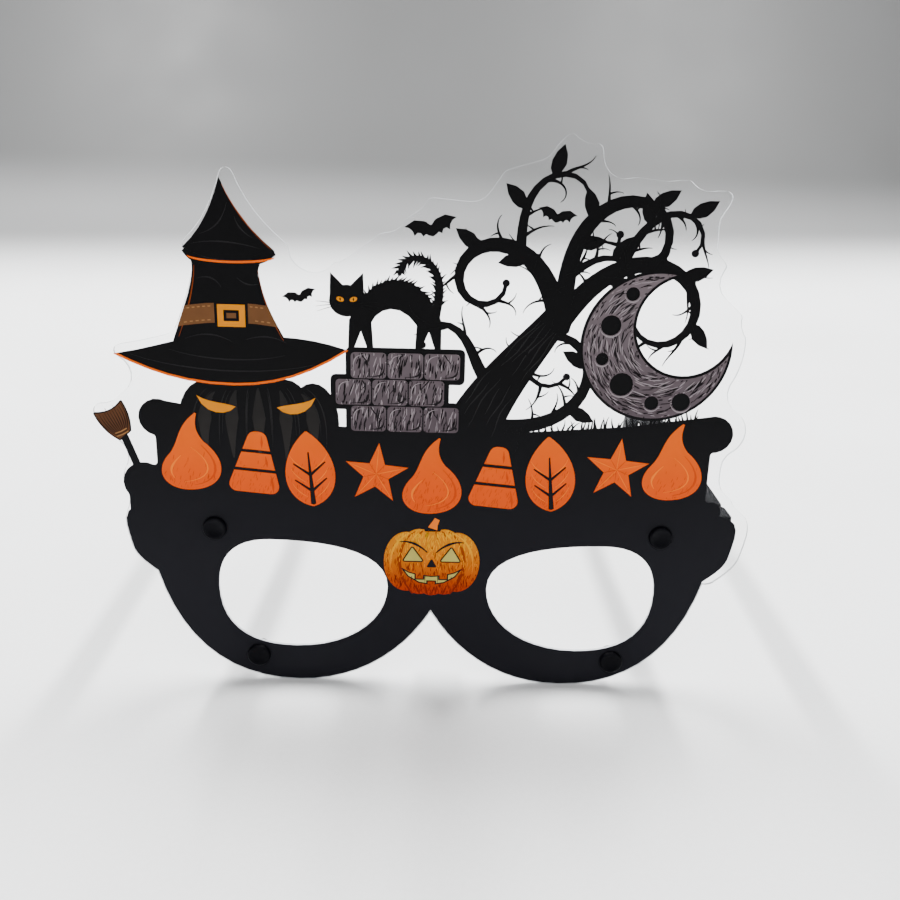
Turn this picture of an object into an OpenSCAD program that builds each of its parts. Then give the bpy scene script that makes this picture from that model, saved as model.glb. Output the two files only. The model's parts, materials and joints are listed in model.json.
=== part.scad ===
// Party glasses: a clear printed sheet riveted to a plastic spectacle frame with folding temples.
// X runs across the face, the front looks along -Y, Z is up, and the rims and temple tips stand on Z = 0.

/* [Lens openings and rims] */
// Width of a lens opening
lens_w = 42.6; // [36:0.2:46]
// Height of a lens opening
lens_h = 29.6; // [25:0.2:33]
// Gap between the two openings, over the nose
bridge_w = 25; // [20:0.5:30]
// Width of the rim under an opening
rim_w = 8.9; // [7:0.1:11]
// Height of the brow above an opening
brow_h = 9.6; // [8:0.1:12]
// Reach of an end-piece past its opening
end_reach = 20.5; // [18:0.5:24]
// Height of an end-piece
end_h = 13.2; // [12:0.1:15]
// Height of the nose notch above the lowest point of the rims
notch_h = 20.5; // [16:0.5:22]

/* [Clear sheet] */
// Thickness of the clear sheet
sheet_t = 0.8; // [0.5:0.1:1.5]
// Clear margin that the cut leaves round the printed scene
cut_margin = 1.5; // [1:0.1:3]
// Clear margin along the rims and in the nose notch
rim_margin = 0.3; // [0.2:0.1:0.8]
// Radius of the hollows in the cut edge
cut_hollow_r = 5; // [3:0.5:8]
// Clearance round a rivet or a pin where it passes through
hole_clearance = 0.05; // [0.02:0.01:0.1]

/* [Printing] */
// Thickness of one ink film
ink_t = 0.1; // [0.05:0.01:0.2]
// How far the print lies to the left of the cut
print_left = 1.5; // [0:0.1:2]
// How far the print lies below its place in the cut
print_low = 0.7; // [0:0.1:1]
// Width of the black line round a coloured field
line_w = 0.7; // [0.4:0.1:1.2]

/* [Banner] */
// Width of the black banner between its rounded corners
banner_w = 134; // [120:1:138]
// Height of the banner's corners above the table
banner_top = 75.8; // [70:0.1:80]
// How far the top edge sags in the middle
banner_sag = 6.5; // [2:0.5:10]
// Radius of a banner corner
banner_lobe_r = 4.6; // [3:0.1:6]
// Height of the tallest ornament on the banner
ornament_h = 19; // [12:0.5:20]
// Number of ornaments on the banner
ornament_count = 9; // [5:1:9]

/* [Plastic frame] */
// Thickness of the frame front
frame_t = 2.4; // [2:0.1:3]
// How far the frame stays inside the printed outline
frame_inset = 2; // [1.6:0.1:2.4]
// How far the frame's openings stand back from the sheet's
frame_step = 1.6; // [1.2:0.1:1.8]
// Radius of a nose pad's rounding
pad_r = 1.8; // [1.4:0.1:2.2]
// Distance of a nose pad's middle from the edge of the notch
pad_in = 4.4; // [4:0.1:5]
// How far a nose pad stands behind the frame front
pad_reach = 4; // [3:0.5:6]
// How far a nose pad leans outwards and draws its ends together on its way back
pad_lean = 0.8; // [0:0.1:1.2]

/* [Rivets] */
// Radius of a rivet head
rivet_head_r = 3; // [2.5:0.1:3.2]
// Height of a rivet head
rivet_head_h = 1; // [0.8:0.1:1.8]
// Depth of the dish in a rivet head
rivet_dish = 0.6; // [0.2:0.1:0.7]
// Radius of a rivet shank
rivet_r = 1.5; // [1.2:0.1:1.8]
// Height of the cap behind the frame
rivet_cap_h = 1.3; // [1:0.1:1.8]
// Radius of the cap
rivet_cap_r = 2.4; // [2:0.1:2.6]

/* [Hinges] */
// Height of the hinge centre above the top of the openings
hinge_rise = 3.2; // [2.6:0.1:3.6]
// Radius of a hinge pin
pin_r = 0.8; // [0.6:0.05:1]
// Radius of a knuckle
knuckle_r = 2.2; // [2:0.1:2.5]
// Height of the temple's knuckle
tongue_h = 4; // [3:0.1:5]
// Height of one frame ear
ear_h = 2.6; // [2:0.1:3]
// Gap between a knuckle and an ear
knuckle_gap = 0.1; // [0.05:0.01:0.2]
// Distance of the hinge axis behind the frame front
hinge_back = 4.4; // [4:0.1:6]

/* [Temples] */
// Thickness of a temple
temple_t = 3.6; // [3:0.1:4.2]
// Height of a temple at its hinge
temple_h = 10; // [9:0.1:12]
// Height of a temple where it bends over the ear
temple_bend_h = 7; // [5:0.1:8]
// Radius of the rounded temple tip
tip_r = 4.2; // [3:0.1:5]
// Length from the hinge to the ear bend
temple_straight = 102; // [90:1:110]
// Length along the table that the ear bend covers
temple_drop_reach = 30; // [24:1:36]
// How much higher than the hinge the ear bend lies
temple_rise = 4; // [0:0.5:5]
// Depth of the moulded hollow in a temple's inner side
temple_hollow = 0.8; // [0.4:0.1:1.2]
// Height of that hollow
temple_hollow_h = 3.6; // [2.4:0.2:4.4]

/* [Hidden] */
$fn = 24;

// Points in each curve of a printed figure, and in each curve of the glasses
curve_steps = 6;
glasses_steps = 11;
// How far a cutter runs past the face that it cuts
over = 1;
// Lowest point of the rims before the print drops them, with the cut standing on the table
base_z = rim_margin + print_low;
lens_x0 = bridge_w / 2;
lens_x1 = lens_x0 + lens_w;
lens_z0 = base_z + rim_w;
lens_z1 = lens_z0 + lens_h;
end_x = lens_x1 + end_reach;
end_top = lens_z1 + brow_h;
end_bottom = end_top - end_h;

frame_y = sheet_t;
frame_back_y = frame_y + frame_t;
// Wall left beside a knuckle
hinge_wall = 0.4;
hinge_x = end_x - frame_inset - knuckle_r - hinge_wall;
hinge_y = frame_back_y + hinge_back;
hinge_z = lens_z1 + hinge_rise;
temple_front_y = hinge_y + knuckle_r + hinge_wall;
bend_y = hinge_y + temple_straight;
tip_y = bend_y + temple_drop_reach;

// The scene is drawn for a banner of this width and follows the banner's size and height
scene_size = banner_w / 134;
// It reaches further to the left than to the right, so the nose stands beside the middle
broom_high = [-74.4, -9.7];
broom_tilt = 26;
broom_corner = [3.6, 8];
broom_left = -broom_high.x + broom_corner.x * cos(broom_tilt) + broom_corner.y * sin(broom_tilt);
scene_left = scene_size * (broom_left + line_w / 2) + cut_margin;
center_x = (end_x + cut_margin - scene_left) / 2;
center_y = (tip_y + tip_r - rivet_head_h - ink_t) / 2;

function bezier(p, t) =
    pow(1 - t, 3) * p[0] + 3 * t * pow(1 - t, 2) * p[1] + 3 * t * t * (1 - t) * p[2] + t * t * t * p[3];
function curves(list, steps = curve_steps) = [for (p = list) for (i = [0:steps - 1]) bezier(p, i / steps)];
function flip(points) = [for (i = [len(points) - 1:-1:0]) [-points[i].x, points[i].y]];
function along(a, b, t) = a + (b - a) * t;

// An opening's outline as four curves in a unit square, from its nose side over the top
lens_unit = [
    [[0, 0.586], [0, 0.908], [0.34, 1], [0.69, 1]],
    [[0.69, 1], [0.9, 1], [1, 0.84], [1, 0.57]],
    [[1, 0.57], [1, 0.163], [0.82, 0], [0.55, 0]],
    [[0.55, 0], [0.222, 0], [0, 0.264], [0, 0.586]]];
function on_lens(p) = [lens_x0 + p.x * lens_w, lens_z0 + p.y * lens_h];
lens_curves = [for (c = lens_unit) [for (p = c) on_lens(p)]];

// The lower edge of the glasses: from the nose notch round the rim to the end-piece
notch = [0, base_z + notch_h];
rim_low = [lens_x0 + 0.5 * lens_w, base_z];
jaw = [end_x - 7, end_bottom - 4.8];
rim_curves = [
    [notch, [0.3 * bridge_w, base_z + 0.39 * notch_h], [lens_x0 + 0.15 * lens_w, base_z], rim_low],
    [rim_low, [rim_low.x + 0.42 * lens_w, base_z], [jaw.x - 5, jaw.y - 19.6], jaw]];
side_low = [end_x - 1.1, end_bottom + 2.4];
end_curves = [
    [jaw, jaw + [3.6, 2.8], side_low + [-0.4, -2.6], side_low],
    [side_low, [end_x, end_bottom + 7.6], [end_x + 1.8, end_top - 1], [end_x - 4.8, end_top]]];

rivet_top = [lens_x1 + 0.3, lens_z1 + 2.8];
rivet_low = along(bezier(rim_curves[1], 0.24), bezier(lens_curves[2], 0.68), 0.5);

// Half a closed outline is drawn on the right and repeated on the left
module both_sides() { children(); mirror([1, 0]) children(); }
module soft(r) { offset(r = r, $fn = 16) offset(r = -2 * r, $fn = 16) offset(delta = r) children(); }
module slab(y, t) { translate([0, y + t, 0]) rotate([90, 0, 0]) linear_extrude(t) children(); }
module placed() { translate([-center_x, -center_y, 0]) children(); }
module scenery() { translate([0, banner_top]) scale(scene_size) children(); }
module at_rivet(p, side) { translate([side * p.x, 0, p.y]) rotate([90, 0, 0]) children(); }

module lens_opening(grow = 0) {
    both_sides() offset(delta = grow) polygon(curves(lens_curves, glasses_steps));
}

module glasses_outline() {
    half = concat(curves(rim_curves, glasses_steps), curves(end_curves), [[end_x - 4.8, end_top]]);
    polygon(concat(half, flip(half)));
}

// Drawn strokes

// A stroke that bends from one curvature to another, in degrees per millimetre, and tapers
function stroke_points(start, heading, length, bend0, bend1, steps) =
    [for (i = 0, p = start, h = heading; i <= steps;
        h = h + (bend0 + (bend1 - bend0) * i / steps) * length / steps,
        p = p + length / steps * [cos(h), sin(h)], i = i + 1) [p.x, p.y, h]];
module stroke(start, heading, length, bend0, bend1, w0, w1, knob = 0, steps = 24) {
    line = stroke_points(start, heading, length, bend0, bend1, steps);
    side = function(s) [for (i = [0:steps])
        let (w = s * (w0 + (w1 - w0) * i / steps) / 2)
        [line[i].x - w * sin(line[i].z), line[i].y + w * cos(line[i].z)]];
    left = side(1);
    right = side(-1);
    polygon(concat(left, [for (i = [steps:-1:0]) right[i]]));
    translate([line[steps].x, line[steps].y]) circle(r = max(w1 / 2, knob), $fn = 10);
}
module line(a, b, w0, w1) {
    across = [a.y - b.y, b.x - a.x] / norm(b - a) / 2;
    polygon([a + across * w0, b + across * w1, b - across * w1, a - across * w0]);
    translate(a) circle(d = w0, $fn = 8);
    translate(b) circle(d = w1, $fn = 8);
}

// Banner

banner_mid_z = end_top - 2;
module banner() {
    drop = banner_sag * 4 / 3;
    top = [[-banner_w / 2, banner_top], [-banner_w / 5, banner_top - drop],
        [banner_w / 5, banner_top - drop], [banner_w / 2, banner_top - 1.2]];
    soft(0.8) {
        $fn = 18;
        polygon(concat([[banner_w / 2, banner_mid_z], [-banner_w / 2, banner_mid_z]],
            curves([top]), [[banner_w / 2, banner_top - 1.2]]));
        translate([-banner_w / 2 + 0.8, banner_top - banner_lobe_r]) circle(banner_lobe_r);
        translate([banner_w / 2 + 0.4, banner_top - banner_lobe_r - 1.2]) circle(banner_lobe_r);
        translate([-banner_w / 2 - 3.4, banner_mid_z + 7.5]) circle(5.2);
        translate([-banner_w / 2 - 3.4, banner_mid_z]) square([8, 14], center = true);
        translate([banner_w / 2 + 1.6, banner_mid_z + 3]) circle(2.6);
    }
}

// The ornaments on the banner are plain festive shapes in a bouncing row
module flame(h) {
    polygon(curves([
        [[0, 0], [0.42, 0], [0.5, 0.34], [0.2, 0.62]] * h,
        [[0.2, 0.62], [0.12, 0.74], [0.1, 0.84], [0.16, 1]] * h,
        [[0.16, 1], [-0.1, 0.84], [-0.08, 0.66], [-0.22, 0.5]] * h,
        [[-0.22, 0.5], [-0.5, 0.26], [-0.34, 0], [0, 0]] * h]));
}
module kernel(h) {
    gap = 0.05 * h;
    difference() {
        offset(r = 0.12 * h) polygon([[-0.26, 0.12], [0.26, 0.12], [0.03, 0.86], [-0.03, 0.86]] * h);
        for (z = [0.34, 0.64]) translate([-h, z * h]) square([2 * h, gap]);
    }
}
module star(h, points) {
    step = 180 / points;
    translate([0, h / 2]) polygon([for (i = [0:2 * points - 1])
        let (r = i % 2 == 0 ? h / 2 : h / 5) [r * sin(i * step), r * cos(i * step)]]);
}
module leaf(h) {
    difference() {
        polygon(curves([[[0, 0], [0.42, 0.12], [0.4, 0.68], [0, 1]] * h,
            [[0, 1], [-0.4, 0.68], [-0.42, 0.12], [0, 0]] * h]));
        line([0, 0.02] * h, [0, 0.72] * h, 0.07 * h, 0.02 * h);
        for (s = [-1, 1], z = [0.2, 0.42]) line([0, z] * h, [0.2 * s, z + 0.16] * h, 0.04 * h, 0.02 * h);
    }
}
module ornaments() {
    pitch = (banner_w - 17) / (ornament_count - 1);
    for (i = [0:ornament_count - 1]) {
        x = (i - (ornament_count - 1) / 2) * pitch;
        lift = banner_sag * pow(2 * x / banner_w, 2);
        h = ornament_h * (i % 2 == 0 ? 1 : 0.84);
        low = banner_top - banner_sag - 2 - ornament_h + lift;
        translate([x, low + (ornament_h - h) / 2]) rotate(i % 2 == 0 ? 5 : -5) {
            if (i % 4 == 0) flame(h);
            if (i % 4 == 1) kernel(h);
            if (i % 4 == 2) leaf(h);
            if (i % 4 == 3) star(h, 5);
        }
    }
}

// Slouched pointed hat over a dark pumpkin. The scene's heights count from the banner's corners.

hat = [-47.5, 9.7];
hat_crown = [
    [[-15, 1], [-12, 10], [-9, 16], [-8.5, 21]], [[-8.5, 21], [-8.5, 24], [-9, 25], [-10.5, 26]],
    [[-10.5, 26], [-6, 30], [-3.5, 35], [-1.5, 41.5]], [[-1.5, 41.5], [1, 35], [5, 30], [10.5, 25.5]],
    [[10.5, 25.5], [8, 24], [6.5, 23], [6.5, 20]], [[6.5, 20], [8, 12], [11, 8], [14.5, 1]]];
hat_brim = [
    [[-28, 1], [-16, 3], [-12, 6], [0, 6]], [[0, 6], [12, 6], [18, 6], [27, 3]],
    [[27, 3], [18, -3], [10, -6], [0, -6]], [[0, -6], [-12, -6], [-20, -3], [-28, 1]]];
module hat_shape() { translate(hat) { polygon(curves(hat_crown)); polygon(curves(hat_brim)); } }
module hat_band() {
    translate(hat) intersection() {
        polygon(curves(hat_crown));
        difference() {
            translate([0, 7]) scale([1, 0.3]) circle(22);
            translate([0, 2.4]) scale([1, 0.3]) circle(22);
        }
    }
}
module hat_trim() {
    translate(hat) {
        difference() {
            polygon(curves(hat_brim));
            translate([0, 0.6]) polygon(curves(hat_brim));
        }
        difference() {
            translate([0.5, 24.2]) scale([1, 0.16]) circle(10);
            translate([0.5, 24.9]) scale([1, 0.16]) circle(11);
        }
    }
}
module hat_buckle() {
    translate(hat + [0, 10.6]) difference() {
        square([6.4, 5.2], center = true);
        square([3.6, 2.6], center = true);
    }
}
under_hat = [-42, -5.3];
module dark_pumpkin() {
    translate(under_hat) for (x = [-13:6.5:13])
        translate([x, 0]) scale([0.62, 1]) circle(11.5 - abs(x) * 0.12);
}
module glowing_eye() { polygon(curves([[[-4.6, 2.2], [-3, -2.6], [2.4, -3], [4.6, -0.4]],
    [[4.6, -0.4], [2, 0.6], [-2, 0.4], [-4.6, 2.2]]])); }
module dark_pumpkin_eyes() {
    translate(under_hat + [-10, 4.2]) glowing_eye();
    translate(under_hat + [9, 4.2]) mirror([1, 0]) glowing_eye();
}

// Arching cat on a stone wall

wall = [-20, -6.8];
course_h = 6.2;
course_pitch = 6.5;
block_pitch = 8.67;
block_share = 0.965;
block_corner = 0.9;
function course_start(course) = wall + [course % 2 == 0 ? 0 : -3.6, course * course_pitch];
module wall_blocks() {
    corner = block_corner * [1, 1];
    for (course = [0:2], i = [0:2]) translate(course_start(course) + [i * block_pitch, 0] + corner)
        offset(r = block_corner, $fn = 12) square([block_share * block_pitch, course_h] - 2 * corner);
}
module wall_shape() {
    for (course = [0:2]) translate(course_start(course))
        offset(r = line_w + 0.5, $fn = 12) square([(2 + block_share) * block_pitch, course_h]);
}
cat = [-10, 12.7];
cat_size = 0.9;
module cat_shape() {
    translate(cat) scale(cat_size) {
        polygon(curves([[[-11, 7], [-9, 21], [8, 24], [12, 8]], [[12, 8], [10, 4], [8, 5], [6, 7]],
            [[6, 7], [2, 13], [-4, 12], [-6, 7]], [[-6, 7], [-8, 5], [-10, 5], [-11, 7]]]));
        line([-9.5, 8], [-11, 0.8], 4, 1.6);
        line([-7.5, 8], [-6, 0.8], 3.6, 1.6);
        line([8, 8], [6.4, 0.8], 4, 1.6);
        line([10.4, 8], [11.6, 0.8], 4, 1.6);
        translate([-12, 13]) {
            scale([1.12, 1]) circle(4.1);
            polygon([[-4.4, 1], [-4.2, 7.2], [-0.4, 3.4]]);
            polygon([[4.4, 1], [4.2, 7.2], [0.4, 3.4]]);
        }
        stroke([10.6, 9], 82, 25, -1.4, 17, 2.6, 1.1, steps = 16);
    }
}
module cat_eyes() {
    translate(cat) scale(cat_size) translate([-12, 13.4]) for (s = [-1, 1])
        translate([1.7 * s, 0]) rotate(18 * s) scale([1, 0.6]) circle(1, $fn = 12);
}

// Curling vines with leaves

trunk = [[7, -12.3], 80, 42, -1.7, 0.6, 15, 6];
vine_step = 2.4;
function vine_steps(v) = ceil(v[2] / vine_step);
function vine_points(v) = stroke_points(v[0], v[1], v[2], v[3], v[4], vine_steps(v));
trunk_end = vine_points(trunk)[vine_steps(trunk)];
fork = [trunk_end.x, trunk_end.y];
knob_r = 0.9;
vines = [
    trunk, [fork + [-0.6, -2], 106, 54, 0.3, 12.5, 5.2, 0.9], [fork + [0, -1], 84, 66, 0.6, -12, 4.6, 0.8],
    [fork + [0, -2], 56, 64, -0.6, -9.5, 5.2, 0.9], [[18.6, 34.7], 84, 33, 1.5, -13, 2.6, 0.7],
    [[14, -4.8], -4, 66, 0.8, 12, 3.8, 0.8], [[41.6, 33.3], 62, 31, 1, -14, 2.6, 0.7],
    [[28.6, 29.7], 40, 22, 1, -15, 2.2, 0.6], [[11, 7.7], 128, 24, -4, 18, 3, 0.7]];
leaf_places = [[1, 0.3, 58], [1, 0.5, -50], [2, 0.25, -60], [2, 0.35, 60], [2, 0.56, 56], [3, 0.24, -58],
    [3, 0.5, 56], [3, 0.7, 56], [4, 0.34, 60], [4, 0.62, 50], [5, 0.3, -60], [5, 0.46, 60],
    [5, 0.62, -60], [6, 0.4, 60], [6, 0.66, 50], [7, 0.6, 50]];
module vine_leaf(place) {
    v = vines[place[0]];
    p = vine_points(v)[round(place[1] * vine_steps(v))];
    translate([p.x, p.y]) rotate(p.z - 90 + place[2]) polygon(curves([
        [[-0.6, 0], [2.6, 1], [2.4, 4.4], [0.4, 7]], [[0.4, 7], [-1.8, 4.6], [-2.2, 1.4], [-0.6, 0]]], 4));
}
module vine_scene() {
    for (v = vines) stroke(v[0], v[1], v[2], v[3], v[4], v[5], v[6], v[6] > 1 ? 0 : knob_r, vine_steps(v));
    for (place = leaf_places) vine_leaf(place);
}

// Bats and moon

module bat(span) {
    wing = [[[0, 0.1], [0.06, 0.2], [0.3, 0.34], [0.5, 0.16]],
        [[0.5, 0.16], [0.4, 0.14], [0.34, 0.06], [0.34, -0.04]],
        [[0.34, -0.04], [0.28, 0.04], [0.2, 0.02], [0.18, -0.08]],
        [[0.18, -0.08], [0.12, 0.0], [0.06, -0.06], [0, -0.2]]];
    both_sides() polygon(curves([for (c = wing) c * span], 3));
    scale([0.8, 1]) circle(span * 0.11, $fn = 12);
    both_sides() polygon([[0.01, 0.06], [0.09, 0.04], [0.08, 0.19]] * span);
}
bats = [[-1.5, 40.7, 12, 12], [26.4, 44.1, 9, -10], [-31.5, 24.7, 8, 14]];
module bat_scene() { for (b = bats) translate([b[0], b[1]]) rotate(b[3]) bat(b[2]); }
moon = [51.5, 15.2];
moon_r = 17.2;
craters = [[-11, 5, 2.4], [-12.5, -3, 1.5], [-7.5, -9, 2.8], [0, -13.4, 1.7], [7, -13, 2.2],
    [-6.5, 12.4, 1.6]];
module moon_shape(grow = 0) {
    translate(moon) difference() {
        circle(moon_r + grow, $fn = 60);
        translate([6.6, 5]) circle(12.4 - grow, $fn = 48);
    }
}
module moon_craters() { translate(moon) for (c = craters) translate([c.x, c.y]) circle(c.z, $fn = 16); }

// Broom leaning on the left

broom_low = [-71, -19.3];
broom_stick = 1.9;
module broom_handle() { line(broom_low, broom_high, broom_stick, broom_stick); }
module broom_head() {
    left = [-broom_corner.x, broom_corner.y];
    translate(broom_high) rotate(broom_tilt) polygon(curves([
        [[-1.3, 0], [-2.6, 1.6], [-3.8, 4.4], left], [left, [-1, 6.8], [1, 6.8], broom_corner],
        [broom_corner, [3.8, 4.4], [2.6, 1.6], [1.3, 0]]]));
}

// Small grinning pumpkin over the nose

pumpkin_w = 18.6;
pumpkin_h = 18.4;
pumpkin_over_notch = 4.3;
pumpkin = notch + [0, pumpkin_over_notch + pumpkin_h / 2];
module pumpkin_body(grow = 0) {
    translate(pumpkin) for (x = [-2:2])
        translate([x * pumpkin_w * 0.17, 0]) scale([0.62, 1 - 0.03 * x * x])
            circle(pumpkin_h / 2 + grow, $fn = 32);
}
module pumpkin_stem(grow = 0) { translate(pumpkin + [0, pumpkin_h / 2 - 0.6]) offset(r = grow)
    polygon([[-1.6, 0], [1.8, 0], [1.2, 1.8], [2.4, 3.2], [0.4, 3.4], [-0.8, 1.8]]); }
module pumpkin_face(inset = 0) {
    translate(pumpkin) offset(delta = -inset) {
        both_sides() translate([4.6, 1.6]) offset(r = 0.5) polygon([[-2, -1.2], [2.2, -1.2], [0.3, 2]]);
        offset(r = 0.3) polygon([[-0.9, -1.2], [0.9, -1.2], [0, 0.4]]);
        difference() {
            polygon(curves([[[-8, -1.4], [-5, -8], [5, -8], [8, -1.4]],
                [[8, -1.4], [4, -4.6], [-4, -4.6], [-8, -1.4]]]));
            translate([-3, -3.4]) square([1.8, 2.4], center = true);
            translate([3, -3.4]) square([1.8, 2.4], center = true);
            translate([0, -6.2]) square([1.8, 1.6], center = true);
        }
    }
}

// The scene ties its figures together with a clear field, so that the cut has no loose islands
clear_field = [[-62, -0.3], [-56, 27.7], [-48, 35.7], [-38, 31.7], [-28, 26.7], [-22, 31.7], [-14, 37.7],
    [-6, 38.7], [-3, 45.7], [9, 44.7], [14, 52.2], [26, 55.7], [33, 58.2], [34, 48.7],
    [42, 51.2], [52, 50.2], [60, 46.7], [61, 27.7], [68, 21.7], [64, 4.7], [58, -0.3]];

module black_figures() {
    banner();
    scenery() {
        hat_shape();
        dark_pumpkin();
        wall_shape();
        cat_shape();
        vine_scene();
        bat_scene();
        moon_shape(line_w);
        broom_handle();
        offset(r = line_w / 2) broom_head();
    }
}
module orange_print() {
    ornaments();
    scenery() hat_trim();
}
module stone_print() {
    scenery() {
        wall_blocks();
        difference() {
            moon_shape();
            moon_craters();
        }
    }
}
module brown_print() {
    scenery() {
        difference() {
            hat_band();
            offset(delta = line_w) hat_buckle();
        }
        broom_head();
    }
}
module amber_print() {
    scenery() {
        hat_buckle();
        dark_pumpkin_eyes();
        cat_eyes();
    }
    pumpkin_face(line_w / 2);
}
module pumpkin_print() {
    difference() {
        pumpkin_body();
        pumpkin_face();
        pumpkin_stem(line_w / 2);
    }
}
module printed() { translate([-print_left, -print_low]) children(); }

// The cut leaves its full margin above the corners of the jaw and follows the print below them
module cut_outline() {
    offset(r = -cut_hollow_r, $fn = 18) offset(r = cut_hollow_r + cut_margin, $fn = 18) {
        intersection() {
            glasses_outline();
            translate([-end_x, jaw.y]) square([2 * end_x, end_top]);
        }
        black_figures();
        scenery() polygon(clear_field);
    }
    printed() offset(delta = rim_margin) glasses_outline();
}
module ink(y) {
    slab(y, ink_t) offset(delta = 0.05) offset(delta = -0.05) difference() {
        printed() children();
        lens_opening();
        rivet_marks();
    }
}
module rivet_marks() {
    for (p = [rivet_top, rivet_low]) both_sides() translate(p) circle(rivet_r + hole_clearance, $fn = 16);
}
module rivet_bores(y0, y1) {
    for (p = [rivet_top, rivet_low], side = [-1, 1])
        translate([0, y1, 0]) at_rivet(p, side) cylinder(r = rivet_r + hole_clearance, h = y1 - y0);
}

module front_sheet() {
    color([0.86, 0.89, 0.9, 0.45]) placed() difference() {
        slab(0, sheet_t) difference() {
            cut_outline();
            lens_opening();
        }
        rivet_bores(-over, sheet_t + over);
    }
}
module print_black() {
    color([0.11, 0.11, 0.12]) placed() ink(-ink_t) { glasses_outline(); black_figures(); }
}
module print_orange() {
    color([0.88, 0.42, 0.1]) placed() ink(-2 * ink_t) orange_print();
}
module print_stone() {
    color([0.43, 0.39, 0.41]) placed() ink(-2 * ink_t) stone_print();
}
module print_brown() {
    color([0.43, 0.27, 0.14]) placed() ink(-2 * ink_t) brown_print();
}
module print_amber() {
    color([0.95, 0.62, 0.16]) placed() ink(-2 * ink_t) amber_print();
}
module print_pumpkin() {
    color([0.9, 0.45, 0.1]) placed() ink(-2 * ink_t) pumpkin_print();
}

// Plastic frame

ear_low = hinge_z - tongue_h / 2 - knuckle_gap - ear_h;
ear_high = hinge_z + tongue_h / 2 + knuckle_gap;
pin_h = ear_high + ear_h - ear_low;
module hinge_ears() {
    for (z = [ear_low, ear_high]) translate([hinge_x, 0, z]) {
        translate([0, hinge_y, 0]) cylinder(r = knuckle_r, h = ear_h);
        translate([-knuckle_r, frame_y + frame_t / 2, 0])
            cube([2 * knuckle_r, hinge_y - frame_y - frame_t / 2, ear_h]);
    }
}

// A pad stands beside the notch, on the inner side of its curve
function beside_notch(t) =
    let (a = bezier(rim_curves[0], t), b = bezier(rim_curves[0], t + 0.05), d = (b - a) / norm(b - a))
    a + pad_in * [-d.y, d.x];
module pad_end(p, y) { translate([p.x, y, p.y]) sphere(pad_r, $fn = 12); }
module nose_pad() {
    low = beside_notch(0.3);
    high = beside_notch(0.04);
    back = frame_back_y + pad_reach - pad_r;
    hull() {
        pad_end(low, frame_back_y);
        pad_end(high, frame_back_y);
        pad_end(low + pad_lean * [1, 1], back);
        pad_end(high + pad_lean * [1, -1], back);
    }
}
module frame_front() {
    color([0.1, 0.1, 0.11]) placed() difference() {
        union() {
            slab(frame_y, frame_t) difference() {
                offset(r = -frame_inset) glasses_outline();
                lens_opening(frame_step);
            }
            for (side = [0, 1]) mirror([side, 0, 0]) { hinge_ears(); nose_pad(); }
        }
        rivet_bores(0, frame_back_y + over);
        for (side = [-1, 1]) translate([side * hinge_x, hinge_y, ear_low - over])
            cylinder(r = pin_r + hole_clearance / 2, h = pin_h + 2 * over);
    }
}

// Temples

bend_z = hinge_z + temple_rise;
function temple_line(steps) = let (bend = [[bend_y, bend_z], [bend_y + 0.42 * temple_drop_reach, bend_z],
    [tip_y - 0.4 * temple_drop_reach, 0.62 * hinge_z], [tip_y, tip_r]])
    concat([[temple_front_y, hinge_z], along([temple_front_y, hinge_z], [bend_y, bend_z], 0.5)],
        [for (i = [0:steps]) bezier(bend, i / steps)]);
module temple_profile() {
    line = temple_line(12);
    last = len(line) - 1;
    half = [for (i = [0:last]) i == 0 ? temple_h / 2 : i == 1 ? (temple_h + temple_bend_h) / 4
        : temple_bend_h / 2 + (tip_r - temple_bend_h / 2) * (i - 2) / (last - 2)];
    turn = [for (i = [0:last]) let (d = line[min(i + 1, last)] - line[max(i - 1, 0)]) atan2(d.y, d.x)];
    upper = [for (i = [0:last]) line[i] + half[i] * [-sin(turn[i]), cos(turn[i])]];
    lower = [for (i = [last:-1:0]) line[i] - half[i] * [-sin(turn[i]), cos(turn[i])]];
    offset(r = 0.4) offset(delta = -0.4) {
        polygon(concat(upper, lower));
        translate(line[last]) circle(tip_r);
    }
}
module temple_hollow_line() {
    a = along([temple_front_y, hinge_z], [bend_y, bend_z], 0.08);
    b = along([temple_front_y, hinge_z], [bend_y, bend_z], 0.94);
    hull() {
        translate(a) circle(d = temple_hollow_h);
        translate(b) circle(d = 0.8 * temple_hollow_h);
    }
}
module temple(side) {
    color([0.1, 0.1, 0.11]) placed() mirror([side < 0 ? 1 : 0, 0, 0]) difference() {
        union() {
            translate([hinge_x - temple_t / 2, 0, 0]) rotate([90, 0, 90])
                linear_extrude(temple_t) temple_profile();
            translate([hinge_x, hinge_y, hinge_z - tongue_h / 2])
                cylinder(r = knuckle_r - hinge_wall / 2, h = tongue_h);
            translate([hinge_x - temple_t / 2, hinge_y, hinge_z - tongue_h / 2])
                cube([temple_t, temple_front_y - hinge_y + over, tongue_h]);
        }
        translate([hinge_x, hinge_y, hinge_z - tongue_h])
            cylinder(r = pin_r + hole_clearance, h = 2 * tongue_h);
        translate([hinge_x - temple_t / 2 - over, 0, 0]) rotate([90, 0, 90])
            linear_extrude(over + temple_hollow) temple_hollow_line();
    }
}
module hinge_pin(side) {
    color("silver") placed() translate([side * hinge_x, hinge_y, ear_low])
        cylinder(r = pin_r, h = pin_h);
}

// Rivets

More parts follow.
